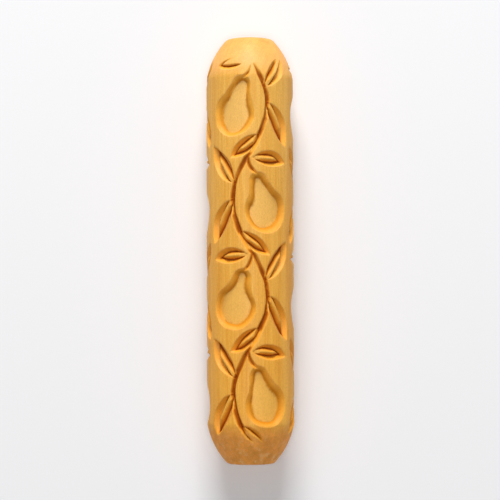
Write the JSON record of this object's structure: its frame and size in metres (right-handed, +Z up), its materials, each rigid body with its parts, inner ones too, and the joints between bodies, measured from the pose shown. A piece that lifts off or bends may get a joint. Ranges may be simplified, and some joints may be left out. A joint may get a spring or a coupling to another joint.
{
  "type": "clay texture roller",
  "caption": "Solid wooden roller with rounded tapering ends, carved with sunk vines, pears and leaves that print raised on soft clay.",
  "frame": {"origin": "middle of the roller's axis, which is the centre of its bounding box", "axes": "+X along the roller's axis, +Z up; the roller lies on its side"},
  "size_m": [0.2, 0.041, 0.041],
  "materials": {
    "oiled_hardwood": "satin"
  },
  "bodies": {
    "root": {"roller": "oiled_hardwood"}
  },
  "joints": []
}
